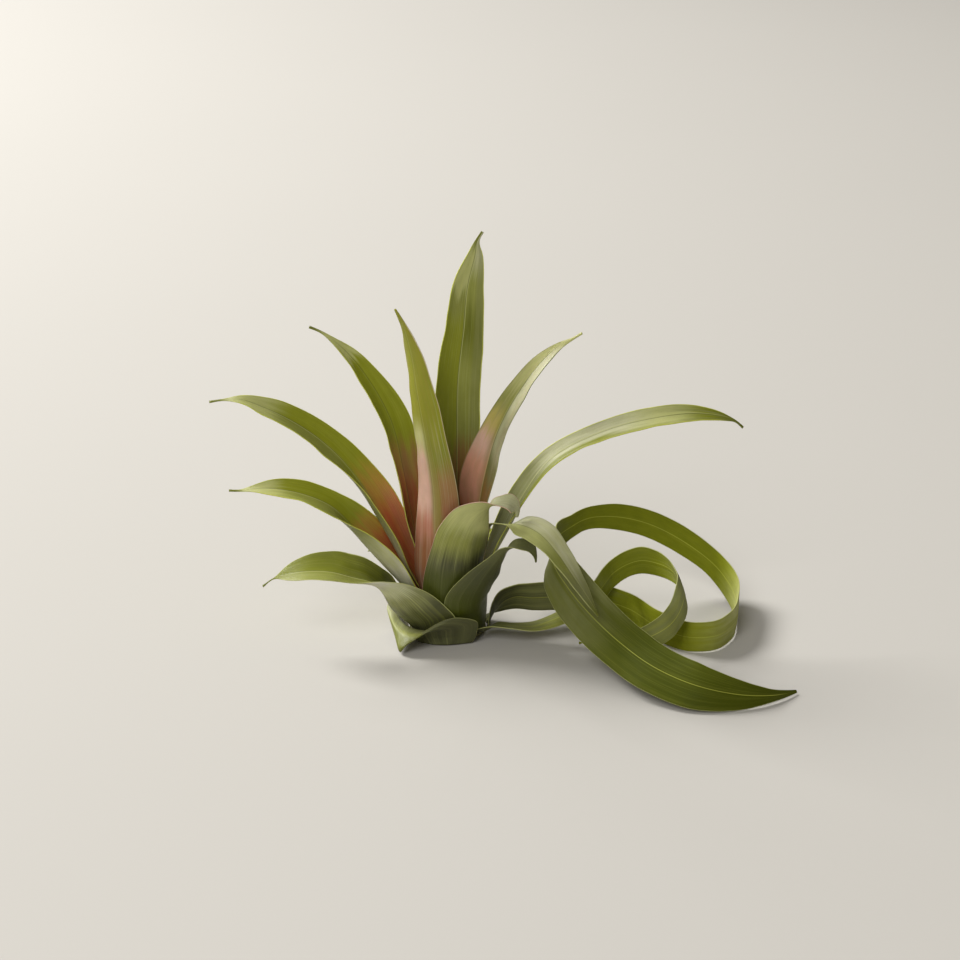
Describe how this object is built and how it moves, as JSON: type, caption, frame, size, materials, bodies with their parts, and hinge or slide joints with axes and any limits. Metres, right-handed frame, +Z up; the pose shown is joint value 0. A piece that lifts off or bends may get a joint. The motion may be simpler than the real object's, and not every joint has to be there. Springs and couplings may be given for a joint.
{
  "type": "bromeliad",
  "caption": "Small unpotted bromeliad: a short woody stem clasped by arching, grooved leaves, with curling bracts in front and long ribbon leaves trailing to the right.",
  "frame": {"origin": "middle of the flat underside of the stem, on the surface that the plant rests on", "axes": "+Z up; +X to the viewer's right, along the plant's long way; -Y towards the viewer"},
  "size_m": [0.2524, 0.1775, 0.1809],
  "materials": {
    "stem_base": "dry, rough bark",
    "leaf_far_left": "living leaf, satin, with fine lengthwise veins",
    "leaf_left": "living leaf, satin, with fine lengthwise veins",
    "leaf_low_left": "living leaf, satin, with fine lengthwise veins",
    "leaf_upper_left": "living leaf, satin, with fine lengthwise veins",
    "leaf_centre_left": "living leaf, satin, with fine lengthwise veins",
    "leaf_tall": "living leaf, satin, with fine lengthwise veins",
    "leaf_upper_right": "living leaf, satin, with fine lengthwise veins",
    "leaf_far_right": "living leaf, satin, with fine lengthwise veins",
    "bract_front": "living leaf, satin, with fine lengthwise veins",
    "bract_front_right": "living leaf, satin, with fine lengthwise veins",
    "bract_foot": "living leaf, satin, with fine lengthwise veins",
    "leaf_trailing_short": "living leaf, satin, with fine lengthwise veins",
    "leaf_long_ribbon": "living leaf, satin, with fine lengthwise veins",
    "leaf_small_loop": "living leaf, satin, with fine lengthwise veins",
    "leaf_back_right": "living leaf, satin, with fine lengthwise veins",
    "leaf_back_tall": "living leaf, satin, with fine lengthwise veins",
    "leaf_back_left": "living leaf, satin, with fine lengthwise veins",
    "bract_back": "living leaf, satin, with fine lengthwise veins"
  },
  "bodies": {
    "root": {"stem_base": "stem_base", "leaf_far_left": "leaf_far_left", "leaf_left": "leaf_left", "leaf_low_left": "leaf_low_left", "leaf_upper_left": "leaf_upper_left", "leaf_centre_left": "leaf_centre_left", "leaf_tall": "leaf_tall", "leaf_upper_right": "leaf_upper_right", "leaf_far_right": "leaf_far_right", "bract_front": "bract_front", "bract_front_right": "bract_front_right", "bract_foot": "bract_foot", "leaf_trailing_short": "leaf_trailing_short", "leaf_long_ribbon": "leaf_long_ribbon", "leaf_small_loop": "leaf_small_loop", "leaf_back_right": "leaf_back_right", "leaf_back_tall": "leaf_back_tall", "leaf_back_left": "leaf_back_left", "bract_back": "bract_back"}
  },
  "joints": []
}
